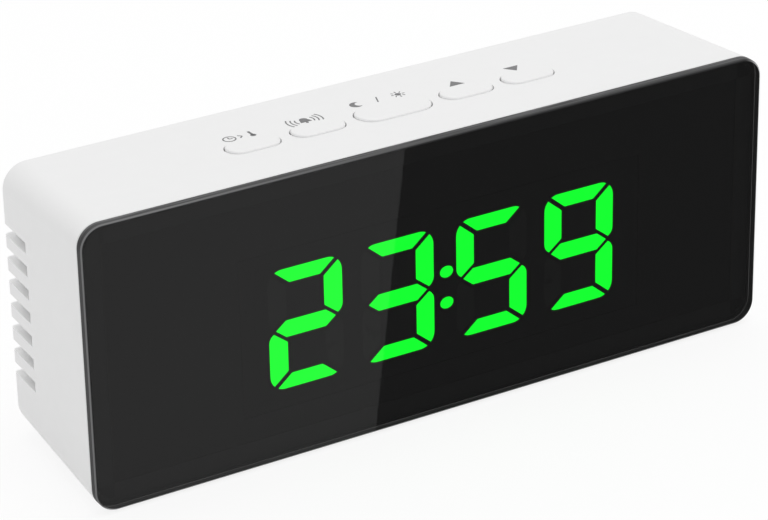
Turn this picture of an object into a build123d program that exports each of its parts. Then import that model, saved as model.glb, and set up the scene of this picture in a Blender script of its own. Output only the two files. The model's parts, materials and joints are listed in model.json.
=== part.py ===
from build123d import *
import os
from math import atan2, degrees, radians, sin, tan

os.makedirs("parts", exist_ok=True)

# Frame: origin at the middle of the footprint, +X to the right seen from the front, +Y to the back,
# +Z up. The feet stand on z = 0. All sizes are in millimetres.

# Overall size
body_width = 140.0
body_height = 54.5
body_depth = 35.0
foot_proud = 0.5
draft_inset = 1.5
front_corner_radius = 4.2
rear_corner_radius = 4.8
rim_fillet = 0.3
rear_edge_fillet = 0.8

# Walls and shared fits
wall = 2.4
rear_wall = 2.6
inner_wall = 1.5
fit_gap = 0.15
seat_gap = 0.1
thread_gap = 0.02
overrun = 1.0

# Front plate and the tape behind it
lens_thickness = 1.8
lens_chamfer = 0.35
tape_thickness = 0.2
tape_inset = 0.8
tape_width = 3.6

# Front frame, let into the mouth of the case
frame_rim = 1.4
frame_thickness = 2.0

# Display module
display_shift_x = 2.2
display_drop = 2.65
display_side_margin = 5.5
display_end_margin = 3.65
display_depth = 9.0
display_face_gap = 0.3
guide_depth = 7.5
digit_width = 15.0
digit_height = 23.4
digit_pitch = 18.9
colon_pitch = 19.8
upright_stroke = 3.7
bar_stroke = 2.8
middle_stroke = 3.25
middle_shoulder = 4.0
middle_tip = 6.05
corner_cut_angle = 40.0
corner_cut_gap = 0.9
middle_cut_angle = 38.0
middle_cut_rise = 1.0
middle_tip_gap = 0.5
digit_corner_radius = 3.0
digit_waist_radius = 2.0
colon_dot_width = 2.75
colon_dot_height = 2.3
colon_spacing = 6.2
colon_drop = 0.7
colon_shift = 0.3
led_length = 2.0
led_width = 1.25
led_height = 0.8
pin_radius = 0.25
pin_hole_gap = 0.15
pin_count = 8
pin_pitch = 9.0
pin_row_inset = 1.2
pin_tail = 1.2

# Main board
board_side_gap = 9.0
board_lift = 4.5
board_thickness = 1.6
board_corner_radius = 1.5
board_notch_gap = 0.5
board_boss_gap = 0.5
board_boss_rise = 11.0
board_boss_radius = 2.5
board_screw_radius = 0.9
board_screw_length = 5.0
board_hole_gap = 0.3
screw_head_radius = 2.1
screw_head_height = 1.2
recess_length = 2.4
recess_width = 0.5
recess_depth = 0.6
screw_head_fillet_share = 0.33

# Screws that join case and frame, in wells from the back
well_from_side = 8.5
well_from_top = 8.0
well_radius = 2.5
well_wall = 1.2
well_depth = 11.0
well_floor = 2.0
frame_boss_radius = 3.2
frame_screw_radius = 1.25
frame_screw_length = 8.0
frame_screw_head_radius = 2.3
frame_screw_head_height = 1.6

# Vents at both ends, open at the side and at the back
vent_count = 7
vent_from_top = 13.6
vent_height = 2.15
vent_length = 9.7
vent_reach = 6.0

# Buttons and their switches
button_row_x = 0.6
button_spacing = 2.8
key_length = 10.4
key_width = 5.5
snooze_length = 15.0
snooze_width = 7.3
button_end_gap = 0.3
button_side_gap = 0.1
button_proud = 0.35
button_edge_fillet = 0.3
button_travel = 0.5
flange_rim = 0.8
flange_thickness = 1.0
stem_radius = 1.8
plunger_radius = 1.2
plunger_proud = 1.2
plunger_hold = 0.9
switch_width = 6.2
switch_depth = 3.5
switch_height = 3.5
switch_below_top = 5.4
switch_stand_off = 2.35
bracket_thickness = 0.5

# Batteries: three cells of 10.5 mm by 44.5 mm lying one above the other
cell_radius = 5.25
cell_length = 44.5
cell_nub_radius = 1.9
cell_nub_length = 0.8
cell_edge_fillet = 0.4
cell_rest_gap = 0.3
cell_spacing_gap = 0.4
cell_stop_drop = 1.6
cell_stop_height = 4.0

# Battery door with two hooks below and a sprung latch above
door_thickness = 1.6
door_corner_radius = 2.0
door_gap = 0.25
door_side_ledge = 3.0
door_lower_ledge = 2.0
door_upper_ledge = 4.0
hook_x = 18.0
hook_width = 8.0
hook_thickness = 1.2
hook_reach = 1.8
hook_lip_gap = 0.2
hook_side_gap = 0.3
hook_swing_room = 1.0
latch_width = 10.6
latch_arm = 1.2
latch_root = 1.0
latch_height = 4.7
latch_top_gap = 0.4
latch_depth = 5.6
latch_tab_height = 2.5
latch_catch = 0.9
latch_catch_depth = 1.2
latch_travel = 0.9
latch_side_gap = 0.3
grip_rib_count = 3
grip_rib_pitch = 2.0
grip_rib_width = 0.8
grip_rib_height = 0.3
grip_rib_length = 12.0
grip_rib_drop = 7.0

# Battery contacts
contact_thickness = 0.4
contact_width = 8.0
contact_height = 7.0
leaf_room = 5.2
leaf_thickness = 0.35
leaf_width = 5.0
leaf_half_span = 3.4
leaf_end_lift = 0.6
tail_width = 2.0
tail_proud = 1.5
lead_radius = 0.6

# Supply inlet at the back
socket_from_bay = 16.25
socket_width = 7.4
socket_height = 2.7
socket_radius = 0.6
socket_skin = 0.35
socket_cavity = 5.0
tongue_width = 5.2
tongue_thickness = 0.7
tongue_length = 4.0
socket_length = 6.2
socket_set_back = 1.6
socket_gap = 0.25
plug_recess_width = 11.5
plug_recess_height = 7.0
plug_recess_radius = 1.5
plug_recess_depth = 1.2
power_board_width = 22.0
power_board_height = 12.0
power_board_thickness = 1.2
power_boss_spacing = 16.0
power_boss_radius = 2.3
power_screw_length = 3.4
power_lead_spacing = 3.0
power_lead_drop = 4.0
power_lead_jog = 4.0
power_lead_straight_share = 0.3
power_lead_bend_share = 0.45

# Parts on the main board
driver_chip_size = (17.8, 7.5, 1.75)
driver_chip_place = (-7.5, -8.0)
driver_leg_count = 10
clock_chip_size = (10.0, 3.9, 1.6)
clock_chip_place = (14.0, -8.0)
clock_leg_count = 8
leg_width = 0.45
leg_length = 1.1
leg_height = 0.6
leg_pitch_share = 0.92
crystal_length = 6.2
crystal_radius = 1.0
crystal_fillet = 0.25
crystal_place = (14.0, 1.0)
capacitor_radius = 2.5
capacitor_height = 7.0
capacitor_pitch = 6.5
capacitor_from_edge = 24.0
capacitor_rise = 8.0
capacitor_fillet = 0.5
resistor_length = 2.0
resistor_width = 1.25
resistor_height = 0.5
resistor_count = 7
resistor_pitch = 3.5
resistor_place = (-4.5, 2.5)
buzzer_radius = 6.0
buzzer_height = 6.5
buzzer_hole_radius = 1.0
buzzer_hole_depth = 2.0
buzzer_from_edge = 25.0
buzzer_drop = 2.0
sensor_bead_radius = 1.4
sensor_lead_radius = 0.3
sensor_lead_pitch = 1.6
sensor_stand_off = 6.0
sensor_from_edge = 8.5
sensor_drop = 6.0

# Feet
foot_radius = 4.0
foot_thickness = 1.3
foot_fillet = 0.3
foot_from_side = 16.0
foot_front_setback = 8.0
foot_rear_setback = 6.5
foot_recess_gap = 0.1
foot_pad_rim = 1.1
foot_pad_lift = 0.2

# Places along the depth, from the front to the back
front_y = -body_depth / 2
rear_y = body_depth / 2
lens_back_y = front_y + lens_thickness
shell_front_y = lens_back_y + tape_thickness
frame_back_y = shell_front_y + frame_thickness
display_front_y = lens_back_y + display_face_gap
board_front_y = display_front_y + display_depth
board_back_y = board_front_y + board_thickness
rear_inside_y = rear_y - rear_wall
door_inner_y = rear_y - door_thickness
door_seat_y = door_inner_y - seat_gap
cell_y = door_inner_y - cell_rest_gap - cell_radius
bay_floor_y = cell_y - cell_radius - cell_rest_gap
tub_front_y = bay_floor_y - inner_wall
well_floor_y = rear_y - well_depth
well_front_y = well_floor_y - well_floor
button_y = board_back_y + switch_stand_off + switch_depth / 2
socket_back_y = rear_y - socket_set_back
power_board_back_y = socket_back_y - socket_length
power_board_front_y = power_board_back_y - power_board_thickness

# Places along the height
mid_z = foot_proud + body_height / 2
display_z = mid_z - display_drop
display_width = 2 * digit_pitch + colon_pitch + digit_width + 2 * display_side_margin
display_height = digit_height + 2 * display_end_margin
foot_pad_z = foot_proud + foot_pad_lift

# The bay is sized by its cells, and the door by the bay
cell_pitch = 2 * cell_radius + cell_spacing_gap
bay_length = cell_length + 2 * contact_thickness + leaf_room
bay_height = 2 * cell_pitch + 2 * (cell_radius + cell_rest_gap) + cell_stop_drop
pocket_width = bay_length + 2 * door_side_ledge
pocket_height = bay_height + door_lower_ledge + door_upper_ledge
pocket_bottom_z = mid_z - pocket_height / 2
pocket_top_z = mid_z + pocket_height / 2
bay_bottom_z = pocket_bottom_z + door_lower_ledge
bay_top_z = pocket_top_z - door_upper_ledge
bay_mid_z = (bay_bottom_z + bay_top_z) / 2
cell_heights = [bay_bottom_z + cell_rest_gap + cell_radius + level * cell_pitch for level in range(3)]
door_width = pocket_width - 2 * door_gap
door_height = pocket_height - 2 * door_gap

# The case narrows evenly from its front rim to its back
shell_depth = rear_y - shell_front_y
rear_width = body_width - 2 * draft_inset


def depth_share(y):
    """0 at the case's front rim and 1 at its back."""
    return (y - shell_front_y) / shell_depth


def side_inset(y):
    """How far each side has moved in at depth y."""
    return draft_inset * depth_share(y)


def corner_radius(y):
    """Outer corner radius at depth y."""
    return front_corner_radius + (rear_corner_radius - front_corner_radius) * depth_share(y)


def top_z(y):
    """Height of the case's top surface at depth y."""
    return foot_proud + body_height - side_inset(y)


def facing_front(y):
    """Sketch plane at depth y that looks to the front: its X is the case's X and its Y is height."""
    return Plane.XZ.offset(-y)


def case_section(y, inset):
    """Rounded rectangle of the case at depth y, drawn in from the outside by inset."""
    with BuildSketch(facing_front(y), mode=Mode.PRIVATE) as section:
        with Locations((0, mid_z)):
            RectangleRounded(
                body_width - 2 * (side_inset(y) + inset),
                body_height - 2 * (side_inset(y) + inset),
                corner_radius(y) - inset,
            )
    return section.sketch


def save(builder, name):
    """Label a finished piece and write it under its node's name."""
    builder.part.label = name
    export_step(builder.part, f"parts/{name}.step")


# Places that several pieces share
sides = (-1, 1)
well_places = [
    (side * (body_width / 2 - well_from_side), mid_z + level * (body_height / 2 - well_from_top))
    for side in sides
    for level in sides
]
board_boss_reach = display_width / 2 + board_boss_gap + board_boss_radius
board_boss_places = [
    (display_shift_x + side * board_boss_reach, display_z + level * board_boss_rise)
    for side in sides
    for level in sides
]
socket_x = bay_length / 2 + inner_wall + socket_from_bay
power_boss_places = [(socket_x + side * power_boss_spacing / 2, mid_z) for side in sides]
hook_places = [-hook_x, hook_x]
foot_x = body_width / 2 - foot_from_side
foot_places = {
    "front_left_foot": (-foot_x, front_y + foot_front_setback),
    "front_right_foot": (foot_x, front_y + foot_front_setback),
    "rear_left_foot": (-foot_x, rear_y - foot_rear_setback),
    "rear_right_foot": (foot_x, rear_y - foot_rear_setback),
}
inner_button_x = (snooze_length + key_length) / 2 + button_spacing
outer_button_x = inner_button_x + key_length + button_spacing
buttons = {
    "mode": (button_row_x - outer_button_x, key_length, key_width),
    "alarm": (button_row_x - inner_button_x, key_length, key_width),
    "snooze": (button_row_x, snooze_length, snooze_width),
    "up": (button_row_x + inner_button_x, key_length, key_width),
    "down": (button_row_x + outer_button_x, key_length, key_width),
}
pin_places = [
    (display_shift_x + (column - (pin_count - 1) / 2) * pin_pitch, display_z + row)
    for column in range(pin_count)
    for row in (pin_row_inset - display_height / 2, display_height / 2 - pin_row_inset)
]

# Levels of a button and its switch. The flange stays under the lowest point of the sloping wall.
switch_top_z = top_z(button_y) - switch_below_top + fit_gap
plunger_top_z = switch_top_z + plunger_proud
plunger_bottom_z = switch_top_z - plunger_hold
plunger_pocket_z = plunger_bottom_z - button_travel - seat_gap

# The main board reaches up to the switches
board_width = body_width - 2 * board_side_gap
board_bottom_z = foot_proud + board_lift
board_height = switch_top_z - board_bottom_z
board_z = board_bottom_z + board_height / 2

# Body shell: a tapered cup with its mouth at the front
with BuildPart() as body_shell:
    loft([case_section(shell_front_y, 0), case_section(rear_y, 0)], ruled=True)
    fillet(body_shell.edges().group_by(Axis.Y)[0], rim_fillet)
    fillet(body_shell.edges().group_by(Axis.Y)[-1], rear_edge_fillet)
    inside = [case_section(frame_back_y, wall), case_section(rear_inside_y, wall)]
    loft(inside, ruled=True, mode=Mode.SUBTRACT)
    with BuildSketch(facing_front(shell_front_y)):
        with Locations((0, mid_z)):
            RectangleRounded(
                body_width - 2 * frame_rim, body_height - 2 * frame_rim, front_corner_radius - frame_rim
            )
    extrude(amount=-frame_thickness, mode=Mode.SUBTRACT)

    # Battery tub, screw wells and the bosses of the supply board stand on the inside of the back
    with BuildSketch(facing_front(tub_front_y)):
        with Locations((0, bay_mid_z)):
            Rectangle(bay_length + 2 * inner_wall, bay_height + 2 * inner_wall)
    extrude(amount=tub_front_y - rear_inside_y)
    with BuildSketch(facing_front(well_front_y)):
        with Locations(well_places):
            Circle(well_radius + well_wall)
    extrude(amount=well_front_y - rear_inside_y)
    with BuildSketch(facing_front(power_board_back_y)):
        with Locations(power_boss_places):
            Circle(power_boss_radius)
    extrude(amount=power_board_back_y - rear_inside_y)

    # Battery bay, the door's seat around it, and a stop above the upper cell
    with BuildSketch(facing_front(bay_floor_y)):
        with Locations((0, bay_mid_z)):
            Rectangle(bay_length, bay_height)
    extrude(amount=bay_floor_y - rear_y - overrun, mode=Mode.SUBTRACT)
    with BuildSketch(facing_front(door_seat_y)):
        with Locations((0, mid_z)):
            RectangleRounded(pocket_width, pocket_height, door_corner_radius + door_gap)
    extrude(amount=door_seat_y - rear_y - overrun, mode=Mode.SUBTRACT)
    with BuildSketch(facing_front(bay_floor_y)):
        with Locations((0, bay_top_z - cell_stop_drop / 2)):
            Rectangle(bay_length, cell_stop_drop)
    extrude(amount=-cell_stop_height)

    # Notches in the door's seat for its hooks and its latch, and room behind the wall for both
    with BuildSketch(facing_front(rear_inside_y)):
        with Locations([(x, pocket_bottom_z + door_lower_ledge / 2) for x in hook_places]):
            Rectangle(hook_width + 2 * hook_side_gap, door_lower_ledge)
        with Locations((0, pocket_top_z - door_upper_ledge / 2)):
            Rectangle(latch_width + 2 * latch_side_gap, door_upper_ledge)
    extrude(amount=rear_inside_y - rear_y, mode=Mode.SUBTRACT)
    with BuildSketch(facing_front(rear_inside_y)):
        hook_room_bottom_z = pocket_bottom_z - hook_reach - hook_lip_gap
        hook_room_height = bay_bottom_z - hook_room_bottom_z
        with Locations([(x, hook_room_bottom_z + hook_room_height / 2) for x in hook_places]):
            Rectangle(hook_width + 2 * hook_side_gap, hook_room_height)
    extrude(amount=hook_lip_gap + hook_thickness + hook_swing_room, mode=Mode.SUBTRACT)
    with BuildSketch(facing_front(rear_inside_y)):
        latch_room_height = door_upper_ledge + latch_catch
        with Locations((0, bay_top_z + latch_room_height / 2)):
            Rectangle(latch_width + 2 * latch_side_gap, latch_room_height)
    extrude(amount=latch_depth + latch_height / 2 + latch_side_gap - rear_wall, mode=Mode.SUBTRACT)

    # Screw wells, their clearance holes, and blind holes for the supply board's screws
    with BuildSketch(facing_front(well_floor_y)):
        with Locations(well_places):
            Circle(well_radius)
    extrude(amount=-well_depth - overrun, mode=Mode.SUBTRACT)
    with BuildSketch(facing_front(well_front_y)):
        with Locations(well_places):
            Circle(frame_screw_radius + fit_gap)
    extrude(amount=-well_floor, mode=Mode.SUBTRACT)
    with BuildSketch(facing_front(power_board_back_y)):
        with Locations(power_boss_places):
            Circle(board_screw_radius + thread_gap)
    extrude(amount=-power_screw_length, mode=Mode.SUBTRACT)

    # Vents: slots from the side round to the back at both ends
    with BuildSketch(facing_front(rear_y - vent_length)):
        with Locations((0, mid_z)):
            vent_pitch = (body_height - 2 * vent_from_top) / (vent_count - 1)
            with GridLocations(rear_width + draft_inset + overrun - vent_reach, vent_pitch, 2, vent_count):
                Rectangle(vent_reach + draft_inset + overrun, vent_height)
    extrude(amount=-vent_length - overrun, mode=Mode.SUBTRACT)

    # Button openings through the top
    for button_x, length, width in buttons.values():
        with BuildSketch(Plane.XY.offset(mid_z)):
            with Locations((button_x, button_y)):
                SlotOverall(length + 2 * button_end_gap, width + 2 * button_side_gap)
        extrude(amount=body_height, mode=Mode.SUBTRACT)

    # Socket opening with a shallow recess for the plug's grip
    with BuildSketch(facing_front(rear_inside_y)):
        with Locations((socket_x, mid_z)):
            RectangleRounded(
                socket_width + 2 * socket_gap, socket_height + 2 * socket_gap, socket_radius + socket_gap
            )
    extrude(amount=-rear_wall, mode=Mode.SUBTRACT)
    with BuildSketch(facing_front(rear_y)):
        with Locations((socket_x, mid_z)):
            RectangleRounded(plug_recess_width, plug_recess_height, plug_recess_radius)
    extrude(amount=plug_recess_depth, mode=Mode.SUBTRACT)

    # Slits for the two solder tails in the tub's floor
    with BuildSketch(facing_front(tub_front_y)):
        for side, height in ((-1, cell_heights[0]), (1, cell_heights[-1])):
            with Locations((side * (bay_length / 2 - contact_thickness / 2), height)):
                Rectangle(contact_thickness + 2 * fit_gap, tail_width + 2 * fit_gap)
    extrude(amount=-inner_wall, mode=Mode.SUBTRACT)

    # Recesses for the feet. The rear ones stand on pads that level out the draft of the underside.
    with BuildSketch(Plane.XY.offset(foot_pad_z)):
        with Locations([place for place in foot_places.values() if place[1] > 0]):
            Circle(foot_radius + foot_pad_rim)
    extrude(amount=wall)
    with BuildSketch(Plane.XY):
        with Locations(list(foot_places.values())):
            Circle(foot_radius + foot_recess_gap)
    extrude(amount=foot_thickness, mode=Mode.SUBTRACT)
save(body_shell, "body_shell")

# Front frame: a flat panel in the mouth of the case, with bosses that reach back
with BuildPart() as front_frame:
    with BuildSketch(facing_front(shell_front_y)):
        with Locations((0, mid_z)):
            RectangleRounded(
                body_width - 2 * (frame_rim + fit_gap),
                body_height - 2 * (frame_rim + fit_gap),
                front_corner_radius - frame_rim - fit_gap,
            )
        with Locations((display_shift_x, display_z)):
            Rectangle(display_width + 2 * fit_gap, display_height + 2 * fit_gap, mode=Mode.SUBTRACT)
    extrude(amount=-frame_thickness)
    with BuildSketch(facing_front(frame_back_y)):
        with Locations(well_places):
            Circle(frame_boss_radius)
    extrude(amount=frame_back_y - well_front_y)
    with BuildSketch(facing_front(frame_back_y)):
        with Locations(board_boss_places):
            Circle(board_boss_radius)
    extrude(amount=frame_back_y - board_front_y)
    with BuildSketch(facing_front(well_front_y)):
        with Locations(well_places):
            Circle(frame_screw_radius + thread_gap)
    extrude(amount=frame_screw_length - well_floor + seat_gap, mode=Mode.SUBTRACT)
    with BuildSketch(facing_front(board_front_y)):
        with Locations(board_boss_places):
            Circle(board_screw_radius + thread_gap)
    extrude(amount=board_screw_length - board_thickness + seat_gap, mode=Mode.SUBTRACT)
save(front_frame, "front_frame")

# Front lens: one flat plate over the whole front
with BuildPart() as front_lens:
    with BuildSketch(facing_front(lens_back_y)):
        with Locations((0, mid_z)):
            RectangleRounded(body_width, body_height, front_corner_radius)
    extrude(amount=lens_thickness)
    chamfer(front_lens.edges().group_by(Axis.Y)[0], lens_chamfer)
save(front_lens, "front_lens")

with BuildPart() as lens_tape:
    with BuildSketch(facing_front(shell_front_y)):
        with Locations((0, mid_z)):
            RectangleRounded(
                body_width - 2 * tape_inset, body_height - 2 * tape_inset, front_corner_radius - tape_inset
            )
            Rectangle(
                body_width - 2 * (tape_inset + tape_width),
                body_height - 2 * (tape_inset + tape_width),
                mode=Mode.SUBTRACT,
            )
    extrude(amount=tape_thickness)
save(lens_tape, "lens_tape")

# Digits: seven mitred bars each. A digit's own coordinates run from its centre.
half_width = digit_width / 2
half_height = digit_height / 2
inner_half = half_width - upright_stroke
bar_level = half_height - bar_stroke
middle_level = middle_stroke / 2
corner_slope = tan(radians(corner_cut_angle))
corner_shift = corner_cut_gap / 2 / sin(radians(corner_cut_angle))
middle_slope = tan(radians(middle_cut_angle))

end_bar = [
    (corner_shift - inner_half, bar_level),
    (inner_half - corner_shift, bar_level),
    (inner_half - corner_shift + bar_stroke / corner_slope, half_height),
    (corner_shift - inner_half - bar_stroke / corner_slope, half_height),
]
upright_bar = [
    (inner_half, middle_level + middle_cut_rise),
    (half_width, middle_level + middle_cut_rise - upright_stroke * middle_slope),
    (half_width, bar_level + (upright_stroke - corner_shift) * corner_slope),
    (inner_half, bar_level - corner_shift * corner_slope),
]
middle_bar = [
    (-middle_tip, 0),
    (-middle_shoulder, -middle_level),
    (middle_shoulder, -middle_level),
    (middle_tip, 0),
    (middle_shoulder, middle_level),
    (-middle_shoulder, middle_level),
]
bar_shapes = {
    "top": (end_bar, 1, 1),
    "bottom": (end_bar, 1, -1),
    "upper_right": (upright_bar, 1, 1),
    "upper_left": (upright_bar, -1, 1),
    "lower_right": (upright_bar, 1, -1),
    "lower_left": (upright_bar, -1, -1),
    "middle": (middle_bar, 1, 1),
}
lit_bars = [
    ("top", "upper_right", "middle", "lower_left", "bottom"),
    ("top", "upper_right", "middle", "lower_right", "bottom"),
    ("top", "upper_left", "middle", "lower_right", "bottom"),
    ("top", "upper_left", "upper_right", "middle", "lower_right", "bottom"),
]
digit_places = [
    display_shift_x - colon_pitch / 2 - digit_pitch,
    display_shift_x - colon_pitch / 2,
    display_shift_x + colon_pitch / 2,
    display_shift_x + colon_pitch / 2 + digit_pitch,
]


def bar_face(digit_x, name):
    """One bar of a digit on the display's face, with the rounded outer corners of the digit."""
    outline, across, up = bar_shapes[name]
    with BuildSketch(facing_front(display_front_y), mode=Mode.PRIVATE) as bar:
        if name == "middle":
            with BuildLine():
                Polyline([(digit_x + u, display_z + v) for u, v in outline], close=True)
            make_face()
        else:
            box_height = half_height - middle_tip_gap / 2
            with Locations((digit_x, display_z + up * (half_height - box_height / 2))):
                Rectangle(digit_width, box_height)
            outer_row, waist_row = (-1, 0) if up > 0 else (0, -1)
            fillet(bar.vertices().group_by(Axis.Y)[outer_row], digit_corner_radius)
            fillet(bar.vertices().group_by(Axis.Y)[waist_row], digit_waist_radius)
            with BuildLine():
                Polyline([(digit_x + across * u, display_z + up * v) for u, v in outline], close=True)
            make_face(mode=Mode.INTERSECT)
    return bar.sketch


def colon_face(up):
    """One dot of the colon on the display's face."""
    with BuildSketch(facing_front(display_front_y), mode=Mode.PRIVATE) as dot:
        with Locations((display_shift_x + colon_shift, display_z - colon_drop + up * colon_spacing / 2)):
            Ellipse(colon_dot_width / 2, colon_dot_height / 2)
    return dot.sketch


lit_faces = [colon_face(-1), colon_face(1)]
unlit_faces = []
for digit_x, lit_names in zip(digit_places, lit_bars):
    for name in bar_shapes:
        if name in lit_names:
            lit_faces.append(bar_face(digit_x, name))
        else:
            unlit_faces.append(bar_face(digit_x, name))
led_places = [(bar.face().center().X, bar.face().center().Z) for bar in lit_faces + unlit_faces]

# Display housing: a block with one well for each bar and dot
with BuildPart() as display_housing:
    with BuildSketch(facing_front(display_front_y)):
        with Locations((display_shift_x, display_z)):
            Rectangle(display_width, display_height)
    extrude(amount=-display_depth)
    extrude([bar.face() for bar in lit_faces + unlit_faces], amount=-display_depth, mode=Mode.SUBTRACT)
save(display_housing, "display_housing")

with BuildPart() as lit_segments:
    extrude([bar.face() for bar in lit_faces], amount=-guide_depth)
save(lit_segments, "lit_segments")

with BuildPart() as unlit_segments:
    extrude([bar.face() for bar in unlit_faces], amount=-guide_depth)
save(unlit_segments, "unlit_segments")

with BuildPart() as display_leds:
    with BuildSketch(facing_front(board_front_y)):
        with Locations(led_places):
            Rectangle(led_length, led_width)
    extrude(amount=led_height)
save(display_leds, "display_leds")

with BuildPart() as display_pins:
    with BuildSketch(facing_front(board_front_y)):
        with Locations(pin_places):
            Circle(pin_radius)
    extrude(amount=-board_thickness - pin_tail)
save(display_pins, "display_pins")

# Main board behind the display, screwed to the frame's bosses
with BuildPart() as main_board:
    with BuildSketch(facing_front(board_front_y)):
        with Locations((0, board_z)):
            RectangleRounded(board_width, board_height, board_corner_radius)
        with Locations(board_boss_places):
            Circle(board_screw_radius + board_hole_gap, mode=Mode.SUBTRACT)
        with Locations(pin_places):
            Circle(pin_radius + pin_hole_gap, mode=Mode.SUBTRACT)
        with Locations(well_places):
            Circle(frame_boss_radius + board_notch_gap, mode=Mode.SUBTRACT)
    extrude(amount=-board_thickness)
save(main_board, "main_board")


def screws(name, places, head_y, direction, head_radius, head_height, shank_radius, shank_length):
    """Pan-head screws with cross recesses, whose heads stand from head_y, to the back if direction is 1."""
    with BuildPart() as group:
        with BuildSketch(facing_front(head_y)):
            with Locations(places):
                Circle(head_radius)
        extrude(amount=-direction * head_height)
        top_edges = group.edges().group_by(Axis.Y)[-1 if direction > 0 else 0]
        fillet(top_edges, screw_head_fillet_share * head_height)
        with BuildSketch(facing_front(head_y + direction * head_height)):
            with Locations(places):
                Rectangle(recess_length, recess_width)
                Rectangle(recess_width, recess_length)
        extrude(amount=direction * recess_depth, mode=Mode.SUBTRACT)
        with BuildSketch(facing_front(head_y)):
            with Locations(places):
                Circle(shank_radius)
        extrude(amount=direction * shank_length)
    save(group, name)


screws(
    "board_screws", board_boss_places, board_back_y, 1,
    screw_head_radius, screw_head_height, board_screw_radius, board_screw_length,
)
screws(
    "frame_screws", well_places, well_floor_y, 1,
    frame_screw_head_radius, frame_screw_head_height, frame_screw_radius, frame_screw_length,
)
screws(
    "power_board_screws", power_boss_places, power_board_front_y, -1,
    screw_head_radius, screw_head_height, board_screw_radius,
    power_board_thickness + power_screw_length - seat_gap,
)


def chip(name, size, place, leg_count):
    """A flat chip on the back of the main board, with legs along both long sides."""
    length, width, height = size
    chip_x, chip_z = place[0], board_z + place[1]
    with BuildPart() as package:
        with BuildSketch(facing_front(board_back_y)):
            with Locations((chip_x, chip_z)):
                Rectangle(length, width)
        extrude(amount=-height)
        with BuildSketch(facing_front(board_back_y)):
            with Locations((chip_x, chip_z)):
                leg_pitch = leg_pitch_share * length / (leg_count - 1)
                with GridLocations(leg_pitch, width + leg_length, leg_count, 2):
                    Rectangle(leg_width, leg_length)
        extrude(amount=-leg_height)
    save(package, name)


chip("driver_chip", driver_chip_size, driver_chip_place, driver_leg_count)
chip("clock_chip", clock_chip_size, clock_chip_place, clock_leg_count)

# A round crystal can that lies on the board
with BuildPart() as quartz_crystal:
    with BuildSketch(Plane.YZ.offset(crystal_place[0] - crystal_length / 2)):
        with Locations((board_back_y + crystal_radius, board_z + crystal_place[1])):
            Circle(crystal_radius)
    extrude(amount=crystal_length)
    fillet(quartz_crystal.edges().filter_by(GeomType.CIRCLE), crystal_fillet)
save(quartz_crystal, "quartz_crystal")

with BuildPart() as board_capacitors:
    with BuildSketch(facing_front(board_back_y)):
        with Locations((board_width / 2 - capacitor_from_edge, board_z + capacitor_rise)):
            with GridLocations(capacitor_pitch, capacitor_pitch, 2, 1):
                Circle(capacitor_radius)
    extrude(amount=-capacitor_height)
    fillet(board_capacitors.edges().group_by(Axis.Y)[-1], capacitor_fillet)
save(board_capacitors, "board_capacitors")

with BuildPart() as board_resistors:
    with BuildSketch(facing_front(board_back_y)):
        with Locations((resistor_place[0], board_z + resistor_place[1])):
            with GridLocations(resistor_pitch, resistor_pitch, resistor_count, 2):
                Rectangle(resistor_width, resistor_length)
    extrude(amount=-resistor_height)
save(board_resistors, "board_resistors")

buzzer_at = (buzzer_from_edge - board_width / 2, board_z - buzzer_drop)
with BuildPart() as buzzer:
    with BuildSketch(facing_front(board_back_y)):
        with Locations(buzzer_at):
            Circle(buzzer_radius)
    extrude(amount=-buzzer_height)
    with BuildSketch(facing_front(board_back_y + buzzer_height)):
        with Locations(buzzer_at):
            Circle(buzzer_hole_radius)
    extrude(amount=buzzer_hole_depth, mode=Mode.SUBTRACT)
save(buzzer, "buzzer")

# Temperature sensor: a bead on two leads, near the vents
sensor_x = sensor_from_edge - board_width / 2
sensor_z = board_z - sensor_drop
with BuildPart() as temperature_sensor:
    with BuildSketch(facing_front(board_back_y)):
        with Locations((sensor_x, sensor_z)):
            with GridLocations(sensor_lead_pitch, sensor_lead_pitch, 2, 1):
                Circle(sensor_lead_radius)
    extrude(amount=-sensor_stand_off)
    with Locations((sensor_x, board_back_y + sensor_stand_off, sensor_z)):
        Sphere(sensor_bead_radius)
save(temperature_sensor, "temperature_sensor")


def slanted_top(y, rise):
    """Plane along the case's sloping top at depth y, lifted by rise, with its normal up."""
    slope = degrees(atan2(draft_inset, shell_depth))
    return Plane((0, y, top_z(y) + rise)).rotated((-slope, 0, 0))


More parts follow.
